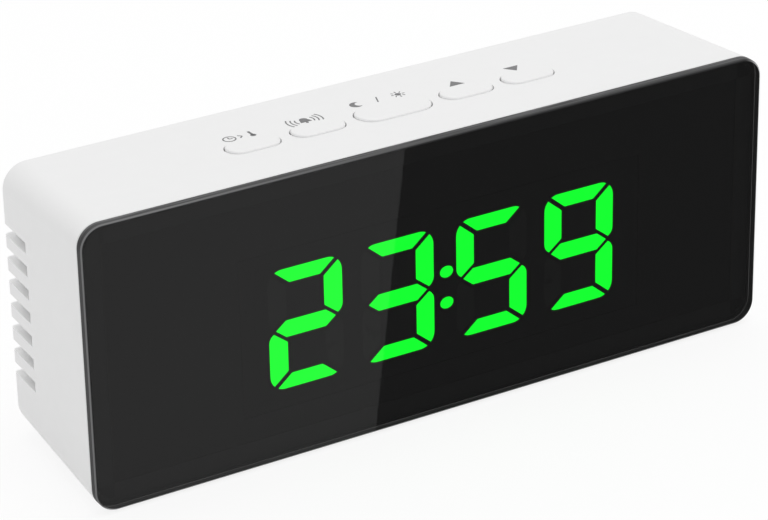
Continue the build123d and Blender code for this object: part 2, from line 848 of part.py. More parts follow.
# Buttons: caps with a flange below the wall and a stem, plungers, and switches on the board
for name, (button_x, length, width) in buttons.items():
    flange_top_z = top_z(button_y + width / 2 + flange_rim) - wall - fit_gap
    flange_bottom_z = flange_top_z - flange_thickness
    with BuildPart() as cap:
        with BuildSketch(Plane.XY.offset(flange_bottom_z)):
            with Locations((button_x, button_y)):
                SlotOverall(length, width)
        extrude(amount=wall + 2 * flange_thickness + button_proud)
        split(bisect_by=slanted_top(button_y, button_proud), keep=Keep.BOTTOM)
        fillet(cap.faces().sort_by(Axis.Z)[-1].edges(), button_edge_fillet)
        with BuildSketch(Plane.XY.offset(flange_bottom_z)):
            with Locations((button_x, button_y)):
                SlotOverall(length + 2 * flange_rim, width + 2 * flange_rim)
        extrude(amount=flange_thickness)
        with BuildSketch(Plane.XY.offset(plunger_top_z)):
            with Locations((button_x, button_y)):
                Circle(stem_radius)
        extrude(amount=flange_bottom_z - plunger_top_z)
    save(cap, f"{name}_button")

    with BuildPart() as plunger:
        with BuildSketch(Plane.XY.offset(plunger_bottom_z)):
            with Locations((button_x, button_y)):
                Circle(plunger_radius)
        extrude(amount=plunger_top_z - plunger_bottom_z)
    save(plunger, f"{name}_plunger")

    with BuildPart() as switch:
        with BuildSketch(Plane.XY.offset(switch_top_z - switch_height)):
            with Locations((button_x, button_y)):
                Rectangle(switch_width, switch_depth)
            for side in sides:
                bracket_x = button_x + side * (switch_width + bracket_thickness) / 2
                with Locations((bracket_x, (board_back_y + button_y) / 2)):
                    Rectangle(bracket_thickness, button_y - board_back_y)
        extrude(amount=switch_height)
        with BuildSketch(Plane.XY.offset(plunger_pocket_z)):
            with Locations((button_x, button_y)):
                Circle(plunger_radius + fit_gap)
        extrude(amount=switch_top_z - plunger_pocket_z, mode=Mode.SUBTRACT)
    save(switch, f"{name}_switch")

# Cells, the middle one turned round
cell_names = ("battery_lower", "battery_middle", "battery_upper")
nub_face_x = contact_thickness - bay_length / 2
for level, name in enumerate(cell_names):
    with BuildPart() as cell:
        with BuildSketch(Plane.YZ.offset(nub_face_x)):
            with Locations((cell_y, cell_heights[level])):
                Circle(cell_nub_radius)
        extrude(amount=cell_nub_length)
        with BuildSketch(Plane.YZ.offset(nub_face_x + cell_nub_length)):
            with Locations((cell_y, cell_heights[level])):
                Circle(cell_radius)
        extrude(amount=cell_length - cell_nub_length)
        rims = cell.edges().filter_by(GeomType.CIRCLE).filter_by(lambda edge: edge.radius > cell_nub_radius)
        fillet(rims, cell_edge_fillet)
        if level == 1:
            mirror(about=Plane.YZ, mode=Mode.REPLACE)
    save(cell, name)


def contact_plate(side, low_level, high_level):
    """Flat plate on the end wall of the bay, from one cell's height to another's."""
    low_z, high_z = cell_heights[low_level], cell_heights[high_level]
    with BuildSketch(Plane.YZ.offset(side * bay_length / 2)) as plate:
        with Locations((cell_y, (low_z + high_z) / 2)):
            Rectangle(contact_width, high_z - low_z + contact_height)
    extrude(plate.sketch, amount=-side * contact_thickness)


def contact_leaf(side, level):
    """Bowed leaf that presses on a cell's flat end."""
    wall_x = bay_length / 2 - contact_thickness
    leaf_reach = bay_length - contact_thickness - cell_length - cell_rest_gap
    bow_x = bay_length / 2 - leaf_reach + leaf_thickness / 2
    with BuildSketch(Plane.XY.offset(cell_heights[level] - leaf_width / 2)) as leaf:
        with BuildLine():
            bow = ThreePointArc(
                (side * wall_x, cell_y + leaf_half_span),
                (side * bow_x, cell_y),
                (side * (wall_x - leaf_end_lift), cell_y - leaf_half_span),
            )
        trace(bow, line_width=leaf_thickness)
    extrude(leaf.sketch, amount=leaf_width)


def contact_tail(side, level):
    """Solder tail that leaves the plate through the tub's floor."""
    tail_end_y = tub_front_y - tail_proud
    with BuildSketch(facing_front(tail_end_y)) as tail:
        with Locations((side * (bay_length / 2 - contact_thickness / 2), cell_heights[level])):
            Rectangle(contact_thickness, tail_width)
    extrude(tail.sketch, amount=tail_end_y - cell_y)


with BuildPart() as positive_contact:
    contact_plate(-1, 0, 0)
    contact_tail(-1, 0)
save(positive_contact, "positive_contact")

with BuildPart() as negative_contact:
    contact_plate(1, 2, 2)
    contact_leaf(1, 2)
    contact_tail(1, 2)
save(negative_contact, "negative_contact")

with BuildPart() as bridge_contacts:
    contact_plate(-1, 1, 2)
    contact_leaf(-1, 1)
    contact_plate(1, 0, 1)
    contact_leaf(1, 0)
save(bridge_contacts, "bridge_contacts")

with BuildPart() as battery_leads:
    with BuildSketch(facing_front(board_back_y)):
        for side, level in ((-1, 0), (1, 2)):
            with Locations((side * (bay_length / 2 - contact_thickness / 2), cell_heights[level])):
                Circle(lead_radius)
    extrude(amount=board_back_y - tub_front_y + tail_proud)
save(battery_leads, "battery_leads")

# Battery door: panel, two hooks behind the lower lip, and a notch for the latch
latch_top_z = pocket_top_z - latch_top_gap
latch_notch_depth = latch_top_gap + latch_tab_height + latch_travel + latch_side_gap
hook_back_y = rear_inside_y - hook_lip_gap
with BuildPart() as battery_door:
    with BuildSketch(facing_front(door_inner_y)):
        with Locations((0, mid_z)):
            RectangleRounded(door_width, door_height, door_corner_radius)
        with Locations((0, pocket_top_z - latch_notch_depth / 2)):
            Rectangle(latch_width + 2 * latch_side_gap, latch_notch_depth, mode=Mode.SUBTRACT)
    extrude(amount=-door_thickness)
    with BuildSketch(facing_front(hook_back_y - hook_thickness)):
        with Locations([(x, pocket_bottom_z + door_gap + hook_thickness / 2) for x in hook_places]):
            Rectangle(hook_width, hook_thickness)
    extrude(amount=hook_back_y - hook_thickness - door_inner_y)
    hook_height = hook_reach + door_gap + hook_thickness
    with BuildSketch(facing_front(hook_back_y - hook_thickness)):
        with Locations([(x, pocket_bottom_z - hook_reach + hook_height / 2) for x in hook_places]):
            Rectangle(hook_width, hook_height)
    extrude(amount=-hook_thickness)
    with BuildSketch(facing_front(rear_y)):
        with Locations((0, pocket_top_z - grip_rib_drop)):
            with GridLocations(grip_rib_length, grip_rib_pitch, 1, grip_rib_count):
                SlotOverall(grip_rib_length, grip_rib_width)
    extrude(amount=grip_rib_height, mode=Mode.SUBTRACT)
save(battery_door, "battery_door")

# Door latch: a U of two arms with a catch on the upper one and a finger tab outside
bend_y = rear_y - latch_depth
bend_z = latch_top_z - latch_height / 2
bend_radius = latch_height / 2
latch_root_y = door_inner_y - seat_gap
catch_back_y = rear_inside_y - hook_lip_gap
with BuildPart() as door_latch:
    with BuildSketch(Plane.YZ.offset(-latch_width / 2)):
        with BuildLine():
            Polyline(
                (bend_y, latch_top_z),
                (catch_back_y - latch_catch_depth, latch_top_z),
                (catch_back_y - latch_catch_depth / 2, latch_top_z + latch_catch),
                (catch_back_y, latch_top_z + latch_catch),
                (catch_back_y, latch_top_z),
                (rear_y, latch_top_z),
                (rear_y, latch_top_z - latch_tab_height),
                (rear_y - latch_arm, latch_top_z - latch_tab_height),
                (rear_y - latch_arm, latch_top_z - latch_arm),
                (bend_y, latch_top_z - latch_arm),
            )
            ThreePointArc(
                (bend_y, latch_top_z - latch_arm),
                (bend_y - bend_radius + latch_arm, bend_z),
                (bend_y, latch_top_z - latch_height + latch_root),
            )
            Polyline(
                (bend_y, latch_top_z - latch_height + latch_root),
                (latch_root_y, latch_top_z - latch_height + latch_root),
                (latch_root_y, latch_top_z - latch_height),
                (bend_y, latch_top_z - latch_height),
            )
            ThreePointArc(
                (bend_y, latch_top_z - latch_height),
                (bend_y - bend_radius, bend_z),
                (bend_y, latch_top_z),
            )
        make_face()
    extrude(amount=latch_width)
save(door_latch, "door_latch")

# Supply board with its socket, and two leads to the main board
with BuildPart() as power_board:
    with BuildSketch(facing_front(power_board_front_y)):
        with Locations((socket_x, mid_z)):
            RectangleRounded(power_board_width, power_board_height, board_corner_radius)
        with Locations(power_boss_places):
            Circle(board_screw_radius + board_hole_gap, mode=Mode.SUBTRACT)
    extrude(amount=-power_board_thickness)
save(power_board, "power_board")

with BuildPart() as power_socket:
    with BuildSketch(facing_front(power_board_back_y)):
        with Locations((socket_x, mid_z)):
            RectangleRounded(socket_width, socket_height, socket_radius)
    extrude(amount=-socket_length)
    with BuildSketch(facing_front(socket_back_y)):
        with Locations((socket_x, mid_z)):
            Rectangle(socket_width - 2 * socket_skin, socket_height - 2 * socket_skin)
    extrude(amount=socket_cavity, mode=Mode.SUBTRACT)
    with BuildSketch(facing_front(socket_back_y - socket_cavity)):
        with Locations((socket_x, mid_z)):
            Rectangle(tongue_width, tongue_thickness)
    extrude(amount=-tongue_length)
save(power_socket, "power_socket")

power_lead_z = mid_z - power_lead_drop
power_lead_reach = power_board_front_y - board_back_y
power_lead_straight = power_lead_straight_share * power_lead_reach
power_lead_turn = atan2(power_lead_jog, power_lead_reach - 2 * power_lead_straight)
power_lead_bend = power_lead_bend_share * power_lead_straight / tan(power_lead_turn / 2)
with BuildPart() as power_leads:
    for side in sides:
        lead_x = socket_x + side * power_lead_spacing / 2
        start = (lead_x, power_board_front_y, power_lead_z)
        with BuildLine() as route:
            FilletPolyline(
                start,
                (lead_x, power_board_front_y - power_lead_straight, power_lead_z),
                (lead_x, board_back_y + power_lead_straight, power_lead_z - power_lead_jog),
                (lead_x, board_back_y, power_lead_z - power_lead_jog),
                radius=power_lead_bend,
            )
        with BuildSketch(Plane(start, z_dir=(0, -1, 0))):
            Circle(lead_radius)
        sweep(path=route.wires()[0])
save(power_leads, "power_leads")

# Rubber feet
for name, place in foot_places.items():
    with BuildPart() as foot:
        with BuildSketch(Plane.XY):
            with Locations(place):
                Circle(foot_radius)
        extrude(amount=foot_thickness)
        fillet(foot.edges().group_by(Axis.Z)[0], foot_fillet)
    save(foot, name)
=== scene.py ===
"""A white desk clock with a smoked front: finishes, printed symbols, studio and camera."""

import json
import math

import bmesh
import bpy
from mathutils import Matrix, Vector


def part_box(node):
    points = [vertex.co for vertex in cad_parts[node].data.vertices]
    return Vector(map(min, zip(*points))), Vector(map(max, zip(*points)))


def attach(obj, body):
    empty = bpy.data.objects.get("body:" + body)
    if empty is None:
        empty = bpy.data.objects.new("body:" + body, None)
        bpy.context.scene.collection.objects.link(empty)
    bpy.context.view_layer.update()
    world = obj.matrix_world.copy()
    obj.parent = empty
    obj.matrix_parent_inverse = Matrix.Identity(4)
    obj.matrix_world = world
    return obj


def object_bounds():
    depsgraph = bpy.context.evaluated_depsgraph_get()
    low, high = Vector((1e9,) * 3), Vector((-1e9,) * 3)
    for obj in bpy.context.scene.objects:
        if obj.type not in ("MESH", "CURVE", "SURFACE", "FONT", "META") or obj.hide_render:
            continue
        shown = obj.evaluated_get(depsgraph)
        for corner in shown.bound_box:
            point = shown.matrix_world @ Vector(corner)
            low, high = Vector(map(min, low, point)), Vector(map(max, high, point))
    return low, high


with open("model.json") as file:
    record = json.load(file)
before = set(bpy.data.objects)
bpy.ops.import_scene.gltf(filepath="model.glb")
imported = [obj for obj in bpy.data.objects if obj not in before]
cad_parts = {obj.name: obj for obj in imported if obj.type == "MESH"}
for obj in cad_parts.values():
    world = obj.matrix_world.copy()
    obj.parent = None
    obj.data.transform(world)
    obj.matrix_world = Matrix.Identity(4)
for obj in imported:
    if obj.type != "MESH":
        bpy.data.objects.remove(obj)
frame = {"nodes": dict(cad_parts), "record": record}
cad_low, cad_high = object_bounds()
nodes = frame["nodes"]
slot_of = {part["node"]: part["material_slot"] for part in frame["record"]["subparts"]}

mm = 0.001


# Node materials

def new_material(name):
    """A node material, its tree and its Principled shader."""
    material = bpy.data.materials.new(name)
    material.use_nodes = True
    return material, material.node_tree, material.node_tree.nodes["Principled BSDF"]


def place_in_row(tree):
    """The point's place in the row frame, in metres."""
    return tree.nodes.new("ShaderNodeTexCoord").outputs["Object"]


def noise(tree, size, detail=2.0, stretch=(1, 1, 1)):
    """Noise with blotches of about that size, longer along an axis where stretch is larger."""
    mapping = tree.nodes.new("ShaderNodeMapping")
    mapping.inputs["Scale"].default_value = [1 / (size * share) for share in stretch]
    tree.links.new(place_in_row(tree), mapping.inputs["Vector"])
    texture = tree.nodes.new("ShaderNodeTexNoise")
    texture.inputs["Scale"].default_value = 1.0
    texture.inputs["Detail"].default_value = detail
    tree.links.new(mapping.outputs["Vector"], texture.inputs["Vector"])
    return texture.outputs["Fac"]


def between(tree, factor, low, high, start=0.0, end=1.0):
    """A value that runs from low to high while the factor runs from start to end."""
    node = tree.nodes.new("ShaderNodeMapRange")
    node.inputs["From Min"].default_value = start
    node.inputs["From Max"].default_value = end
    node.inputs["To Min"].default_value = low
    node.inputs["To Max"].default_value = high
    tree.links.new(factor, node.inputs["Value"])
    return node.outputs["Result"]


def drifting(tree, blotches, low, high):
    """A value from low to high that follows a noise, most of which lies between 0.3 and 0.7."""
    return between(tree, blotches, low, high, 0.3, 0.7)


def beyond(tree, axis, place, soft):
    """0 before that place on the axis and 1 behind it, with a soft change."""
    return between(tree, axis, 0.0, 1.0, place - soft, place + soft)


# A Mix node's colour sockets share their names with its number sockets, so they go by place
mix_first, mix_second, mix_result = 6, 7, 2


def mixed_colour(tree, factor, first, second):
    """A colour from first to second. Each is a colour or a socket."""
    node = tree.nodes.new("ShaderNodeMix")
    node.data_type = "RGBA"
    tree.links.new(factor, node.inputs["Factor"])
    for place, colour in ((mix_first, first), (mix_second, second)):
        if isinstance(colour, tuple):
            node.inputs[place].default_value = (*colour, 1.0)
        else:
            tree.links.new(colour, node.inputs[place])
    return node.outputs[mix_result]


def combined(tree, operation, first, second):
    """The difference, product or larger of two sockets."""
    node = tree.nodes.new("ShaderNodeMath")
    node.operation = operation
    tree.links.new(first, node.inputs[0])
    tree.links.new(second, node.inputs[1])
    return node.outputs["Value"]


def split(tree, vector):
    """The vector's three parts."""
    parts = tree.nodes.new("ShaderNodeSeparateXYZ")
    tree.links.new(vector, parts.inputs["Vector"])
    return parts.outputs


def facing_parts(tree):
    """The three parts of the surface's normal in the row frame."""
    return split(tree, tree.nodes.new("ShaderNodeTexCoord").outputs["Normal"])


def shaded(colour, share):
    """The same colour, lighter or darker."""
    return tuple(share * part for part in colour)


def add_bump(tree, shader, height, depth):
    """The surface stands up to that depth where the height is 1."""
    bump = tree.nodes.new("ShaderNodeBump")
    bump.inputs["Distance"].default_value = depth
    tree.links.new(height, bump.inputs["Height"])
    tree.links.new(bump.outputs["Normal"], shader.inputs["Normal"])


def moulded(name, colour, roughness, grain=0.3 * mm, depth=0.004 * mm, spread=0.03):
    """Moulded plastic or rubber: a fine spark grain, with gloss and tint that drift a little."""
    blotch, gloss_blotch, gloss_spread = 9 * mm, 3 * mm, 0.12
    material, tree, shader = new_material(name)
    drift = noise(tree, blotch)
    tint = mixed_colour(tree, drift, shaded(colour, 1 - spread), shaded(colour, 1 + spread))
    tree.links.new(tint, shader.inputs["Base Color"])
    low, high = roughness * (1 - gloss_spread), roughness * (1 + gloss_spread)
    tree.links.new(drifting(tree, noise(tree, gloss_blotch), low, high), shader.inputs["Roughness"])
    add_bump(tree, shader, noise(tree, grain, detail=3.0), depth)
    return material


def metal(name, colour, roughness, stretch=(1, 1, 1)):
    """Bare or plated metal, with fine marks drawn out along an axis and a faint stain."""
    grain, depth, gloss_spread = 0.25 * mm, 0.002 * mm, 0.3
    stain_size, stain_share = 4 * mm, 0.86
    material, tree, shader = new_material(name)
    marks = noise(tree, grain, detail=4.0, stretch=stretch)
    stain = mixed_colour(tree, noise(tree, stain_size), shaded(colour, stain_share), colour)
    tree.links.new(stain, shader.inputs["Base Color"])
    shader.inputs["Metallic"].default_value = 1.0
    low, high = roughness * (1 - gloss_spread), roughness * (1 + gloss_spread)
    tree.links.new(drifting(tree, marks, low, high), shader.inputs["Roughness"])
    add_bump(tree, shader, marks, depth)
    return material


def smoked_acrylic(name, specular):
    """One face of the smoked plate, near-black and half see-through."""
    cloud_size, cloud_share = 20 * mm, 0.96
    smear_size, smear_roughness = 14 * mm, (0.01, 0.025)
    material, tree, shader = new_material(name)
    cloud = noise(tree, cloud_size)
    tree.links.new(
        mixed_colour(tree, cloud, shaded(lens_black, cloud_share), lens_black),
        shader.inputs["Base Color"],
    )
    smear = noise(tree, smear_size, detail=5.0)
    tree.links.new(drifting(tree, smear, *smear_roughness), shader.inputs["Roughness"])
    shader.inputs["Specular IOR Level"].default_value = specular
    shader.inputs["Alpha"].default_value = lens_alpha
    return material


def sawn_edge_painted_light():
    """The plate's edge: dark saw marks, with a pale painted highlight line by the chamfer.

    On the left and the top the chamfer is black beside the face, and the painted highlight line sits
    behind that and fades away to the right. The top's marks are paler than the sides' and grow paler
    towards the case, both painted light.
    On the right and the bottom the chamfer is a pale painted highlight.
    """
    low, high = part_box("front_lens")
    material, tree, shader = new_material("sawn_edge_painted_light")
    place = split(tree, place_in_row(tree))
    depth = place["Y"]
    across = between(tree, place["X"], 0.0, 1.0, low.x, high.x)
    rise = between(tree, place["Z"], 0.0, 1.0, low.z, high.z)
    # Painted light by place: the top and left half of the edge gets other highlights than the right and
    # bottom half
    top_left = beyond(tree, combined(tree, "SUBTRACT", rise, across), 0.0, edge_corner_soft)
    # Painted light by facing: faces turned up get paler saw marks than faces turned sideways
    upward = between(tree, facing_parts(tree)["Z"], 0.0, 1.0, *edge_turns_up)
    rearward = between(tree, depth, 0.0, 1.0, low.y + edge_line_start, high.y)

    saw_noise = noise(tree, edge_mark_size, detail=3.0, stretch=edge_mark_stretch)
    marks = beyond(tree, saw_noise, 0.5, edge_mark_soft)
    # Painted light: the top's pale marks grow lighter towards the case
    top_painted_light = mixed_colour(tree, rearward, edge_top_front_painted_light, edge_top_painted_light)
    pale = mixed_colour(tree, upward, edge_side_pale, top_painted_light)
    sawn = mixed_colour(tree, marks, edge_dark, pale)

    # Right and bottom: the chamfer is a pale painted highlight. Top and left: a black chamfer, then a
    # painted highlight line that fades to the right
    behind_chamfer = beyond(tree, depth, low.y + edge_chamfer, edge_chamfer_soft)
    far = mixed_colour(tree, behind_chamfer, edge_far_highlight, sawn)
    behind_black = beyond(tree, depth, low.y + edge_line_start, edge_line_soft)
    behind_line = beyond(tree, depth, low.y + edge_line_end, edge_line_soft)
    highlight_fade = between(tree, across, 0.0, 1.0, *edge_highlight_fade)
    line = mixed_colour(tree, highlight_fade, edge_near_highlight, edge_faded_highlight)
    near = mixed_colour(tree, behind_black, edge_polished, mixed_colour(tree, behind_line, line, sawn))

    tree.links.new(mixed_colour(tree, top_left, far, near), shader.inputs["Base Color"])
    tree.links.new(between(tree, marks, *edge_roughness), shader.inputs["Roughness"])
    shader.inputs["Specular IOR Level"].default_value = edge_specular
    return material


def glowing_segment():
    """A light guide with its diode on: even green light, a shade less where the resin is thicker."""
    cloud_size, cloud_share, cloud_roughness = 0.6 * mm, 0.97, (0.3, 0.4)
    material, tree, shader = new_material("segment_green")
    shader.inputs["Base Color"].default_value = (*segment_resin, 1.0)
    shader.inputs["Specular IOR Level"].default_value = segment_specular
    cloud = noise(tree, cloud_size)
    glow = mixed_colour(tree, cloud, shaded(segment_glow, cloud_share), segment_glow)
    tree.links.new(glow, shader.inputs["Emission Color"])
    tree.links.new(between(tree, cloud, *cloud_roughness), shader.inputs["Roughness"])
    shader.inputs["Emission Strength"].default_value = glow_through_lens / (1 - lens_alpha) ** 2
    return material


def circuit_board():
    """Glass-fibre board under a green mask, with copper tracks that show as paler lines."""
    track_scale, track_height, track_share = 9 * mm, 0.03 * mm, 1.9
    cover_size, cover_soft = 11 * mm, 0.08
    weave_size, weave_share = 0.4 * mm, 0.85
    smear_size, smear_roughness = 3 * mm, (0.28, 0.42)
    material, tree, shader = new_material("board_green")
    tracks = tree.nodes.new("ShaderNodeTexBrick")
    tracks.inputs["Scale"].default_value = 1 / track_scale
    tracks.inputs["Mortar Size"].default_value = 0.035
    tracks.inputs["Brick Width"].default_value = 0.9
    tracks.inputs["Row Height"].default_value = 0.17
    turned = tree.nodes.new("ShaderNodeMapping")
    turned.inputs["Rotation"].default_value = (math.radians(90), 0, 0)
    tree.links.new(place_in_row(tree), turned.inputs["Vector"])
    tree.links.new(turned.outputs["Vector"], tracks.inputs["Vector"])
    copper_cover = beyond(tree, noise(tree, cover_size), 0.5, cover_soft)
    track = combined(tree, "MULTIPLY", tracks.outputs["Fac"], copper_cover)
    weave = mixed_colour(tree, noise(tree, weave_size), shaded(mask_green, weave_share), mask_green)
    masked = mixed_colour(tree, track, weave, shaded(mask_green, track_share))
    tree.links.new(masked, shader.inputs["Base Color"])
    smear = noise(tree, smear_size)
    tree.links.new(between(tree, smear, *smear_roughness), shader.inputs["Roughness"])
    add_bump(tree, shader, track, track_height)
    return material


def cell_sleeve(node):
    """A battery cell: a plain dark sleeve, a pale band at the plus end and bare metal at both ends."""
    cloud_size, cloud_share = 8 * mm, 0.8
    smear_size, smear_roughness = 2 * mm, (0.22, 0.36)
    turns_to_end = (0.6, 0.7)
    low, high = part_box(node)
    plus_x = plus_end(node)
    minus_x = high.x if plus_x == low.x else low.x
    towards_minus = 1 if minus_x > plus_x else -1
    band_start = plus_x + towards_minus * cell_band
    band_end = band_start + towards_minus * cell_band_soft

    material, tree, shader = new_material(f"{node}_sleeve")
    plus_band = between(tree, split(tree, place_in_row(tree))["X"], 1.0, 0.0, band_start, band_end)
    cloud = noise(tree, cloud_size)
    film = mixed_colour(tree, cloud, shaded(sleeve_dark, cloud_share), sleeve_dark)
    sleeve = mixed_colour(tree, plus_band, film, sleeve_band)
    facing_end = tree.nodes.new("ShaderNodeMath")
    facing_end.operation = "ABSOLUTE"
    tree.links.new(facing_parts(tree)["X"], facing_end.inputs[0])
    bare = between(tree, facing_end.outputs["Value"], 0.0, 1.0, *turns_to_end)
    tree.links.new(mixed_colour(tree, bare, sleeve, tin), shader.inputs["Base Color"])
    tree.links.new(bare, shader.inputs["Metallic"])
    smear = noise(tree, smear_size)
    tree.links.new(between(tree, smear, *smear_roughness), shader.inputs["Roughness"])
    return material


def plus_end(node):
    """The x of the cell's end that has the nub: all of that end lies close to the cell's axis."""
    low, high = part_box(node)
    middle = (low + high) / 2
    reach = {}
    for end_x in (low.x, high.x):
        tip = [v.co for v in nodes[node].data.vertices if abs(v.co.x - end_x) < tip_depth]
        reach[end_x] = max(math.hypot(co.y - middle.y, co.z - middle.z) for co in tip)
    return min(reach, key=reach.get)


def dress(node, material):
    """The node's only material."""
    nodes[node].data.materials.clear()
    nodes[node].data.materials.append(material)


def dress_where(node, material, is_chosen):
    """Gives a further material to the faces that pass the test."""
    mesh = nodes[node].data
    mesh.materials.append(material)
    for face in mesh.polygons:
        if is_chosen(face):
            face.material_index = len(mesh.materials) - 1


def in_vent(face):
    """Whether the shell's face is a vent's floor or ceiling."""
    place = face.center
    is_level = abs(face.normal.z) > 0.9
    is_beside = abs(place.x) > vents_inner_x and place.y > vents_front_y
    return is_level and is_beside and vents_low_z < place.z < vents_high_z


def along_key(face):
    """Whether the face is a wall of the narrow gap round a key."""
    place = face.center
    is_upright = abs(face.normal.z) < 0.3
    is_in_row = abs(place.x) < keys_reach_x and abs(place.y) < keys_reach_y
    return is_upright and is_in_row and place.z > keys_low_z


# Colours are linear. The shell's is a shade under the photograph's white
shell_white = (0.79, 0.79, 0.79)
# Painted light: a lighter white for the vents and key gaps, which takes away the shade in them
recess_painted_light = (0.96, 0.96, 0.96)
shell_roughness = 0.42
shell_spread = 0.006
lens_black = (0.0016, 0.0016, 0.0016)
lens_alpha = 0.55
lens_specular = 0.47

# The plate's edge, with places measured back from its face. Its pale lines are painted highlights, and
# its paler top is painted light
edge_dark = (0.022, 0.022, 0.0225)
edge_side_pale = (0.037, 0.037, 0.038)
edge_top_painted_light = (0.15, 0.15, 0.152)
edge_top_front_painted_light = (0.06, 0.06, 0.061)
edge_near_highlight = (0.165, 0.165, 0.167)
edge_faded_highlight = (0.05, 0.05, 0.051)
edge_far_highlight = (0.32, 0.32, 0.322)
edge_polished = (0.012, 0.012, 0.012)
edge_chamfer = 0.35 * mm
edge_line_start = 0.17 * mm
edge_line_end = 0.5 * mm
edge_chamfer_soft = 0.03 * mm
edge_line_soft = 0.04 * mm
edge_corner_soft = 0.02
edge_highlight_fade = (0.1, 0.6)
edge_mark_size = 0.2 * mm
edge_mark_stretch = (60, 1, 60)
edge_mark_soft = 0.1
edge_turns_up = (0.3, 0.9)
edge_roughness = (0.4, 0.55)
edge_specular = 0.12

# The display, the board and the cells
segment_glow = (0.0, 1.0, 0.021)
segment_resin = (0.0, 0.05, 0.002)
segment_specular = 0.1
glow_through_lens = 1.15
mask_green = (0.02, 0.11, 0.045)
sleeve_dark = (0.03, 0.06, 0.11)
sleeve_band = (0.42, 0.44, 0.45)
cell_band = 13 * mm
cell_band_soft = 0.05 * mm
tip_depth = 0.1 * mm
tin = (0.62, 0.62, 0.6)

# Where the faces lie that have a look of their own, among them the vents and key gaps with painted
# light
vents_inner_x, vents_front_y = 60 * mm, 5 * mm
vents_low_z, vents_high_z = 10 * mm, 45 * mm
keys_reach_x, keys_reach_y, keys_low_z = 45 * mm, 10 * mm, 51 * mm
chip_body_widths = {"driver_chip": 7.5 * mm, "clock_chip": 3.9 * mm}
face_margin = 0.01 * mm

finishes = {
    "shell_white": moulded("shell_white", shell_white, shell_roughness, spread=shell_spread),
    "smoked_mirror": smoked_acrylic("smoked_mirror", lens_specular),
    "frame_black": moulded("frame_black", (0.006, 0.006, 0.006), 0.5, spread=0.1),
    "housing_black": moulded("housing_black", (0.006, 0.006, 0.006), 0.7, grain=0.1 * mm, spread=0.1),
    "segment_green": glowing_segment(),
    "segment_milky": moulded("segment_milky", (0.045, 0.046, 0.044), 0.3, grain=0.08 * mm, spread=0.05),
    "tinned_metal": metal("tinned_metal", tin, 0.3),
    "board_green": circuit_board(),
    "chip_black": moulded("chip_black", (0.02, 0.02, 0.021), 0.55, grain=0.12 * mm, spread=0.1),
    "can_aluminium": metal("can_aluminium", (0.72, 0.72, 0.73), 0.25, stretch=(1, 12, 1)),
    "switch_black": moulded("switch_black", (0.03, 0.03, 0.03), 0.4, grain=0.15 * mm, spread=0.08),
    "screw_steel": metal("screw_steel", (0.5, 0.51, 0.53), 0.32, stretch=(6, 1, 1)),
    "lead_black": moulded("lead_black", (0.025, 0.025, 0.026), 0.35, grain=0.2 * mm, spread=0.06),
    "foot_rubber": moulded(
        "foot_rubber", (0.05, 0.05, 0.052), 0.8, grain=0.18 * mm, depth=0.012 * mm, spread=0.12
    ),
}
for name in nodes:
    if slot_of[name] == "cell_sleeve":
        dress(name, cell_sleeve(name))
    else:
        dress(name, finishes[slot_of[name]])

# The plate's back mirrors nothing, and its edge is sawn, with painted highlights and painted light on
# it
lens_low, lens_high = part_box("front_lens")
lens_front, lens_back = lens_low.y + face_margin, lens_high.y - face_margin
back = smoked_acrylic("smoked_back", 0.0)
dress_where("front_lens", back, lambda face: face.center.y > lens_back)
dress_where("front_lens", sawn_edge_painted_light(), lambda face: lens_front < face.center.y < lens_back)

# Vents and key gaps get a lighter white than the shell: painted light that takes away the shade in
# them, so they look almost as light as the shell round them
painted_light_recess = moulded("recess_painted_light", recess_painted_light, shell_roughness, spread=shell_spread)
dress_where("body_shell", painted_light_recess, in_vent)
for name in nodes:
    if name == "body_shell" or name.endswith("_button"):
        dress_where(name, painted_light_recess, along_key)

for chip, width in chip_body_widths.items():
    chip_middle = sum(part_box(chip), Vector()) / 2
    leg_start = width / 2 + face_margin
    dress_where(
        chip, finishes["tinned_metal"], lambda face: abs(face.center.z - chip_middle.z) > leg_start
    )


def object_from(name, mesh, material):
    """The mesh as an object of the scene."""
    bmesh.ops.recalc_face_normals(mesh, faces=mesh.faces)
    data = bpy.data.meshes.new(name)
    mesh.to_mesh(data)
    mesh.free()
    data.materials.append(material)
    made = bpy.data.objects.new(name, data)
    bpy.context.scene.collection.objects.link(made)
    return made


# Black print round the back of the plate, so that no light shows through beside the tape

def rounded_outline(inset, steps=12):
    """The plate's outline, that far in from its edge, as x and z."""
    radius = plate_corner - inset
    outline = []
    for corner, (side_x, side_z) in enumerate(((1, 1), (-1, 1), (-1, -1), (1, -1))):
        centre_x = lens_high.x - plate_corner if side_x > 0 else lens_low.x + plate_corner
        centre_z = lens_high.z - plate_corner if side_z > 0 else lens_low.z + plate_corner
        for i in range(steps + 1):
            turn = math.radians(90 * (corner + i / steps))
            outline.append((centre_x + radius * math.cos(turn), centre_z + radius * math.sin(turn)))
    return outline


def border_print():
    """A thin closed ring of ink behind the plate's edge."""
    outer, inner = rounded_outline(border_margin), rounded_outline(border_width)
    front_y, back_y = lens_high.y + border_front, lens_high.y + border_back
    mesh = bmesh.new()
    loops = [
        [mesh.verts.new((x, y, z)) for x, z in outline]
        for outline, y in ((outer, front_y), (outer, back_y), (inner, back_y), (inner, front_y))
    ]
    for first, second in zip(loops, loops[1:] + loops[:1]):
        for i in range(len(first)):
            j = (i + 1) % len(first)
            mesh.faces.new((first[i], first[j], second[j], second[i]))
    border = object_from("border_print", mesh, finishes["frame_black"])
    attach(border, "clock")


# Widths are measured in from the plate's edge and places back from its back face
plate_corner = 4.2 * mm
border_margin = 0.02 * mm
border_width = 0.78 * mm
border_front = 0.01 * mm
border_back = 0.05 * mm
border_print()


# Printed symbols on the top, one behind each button

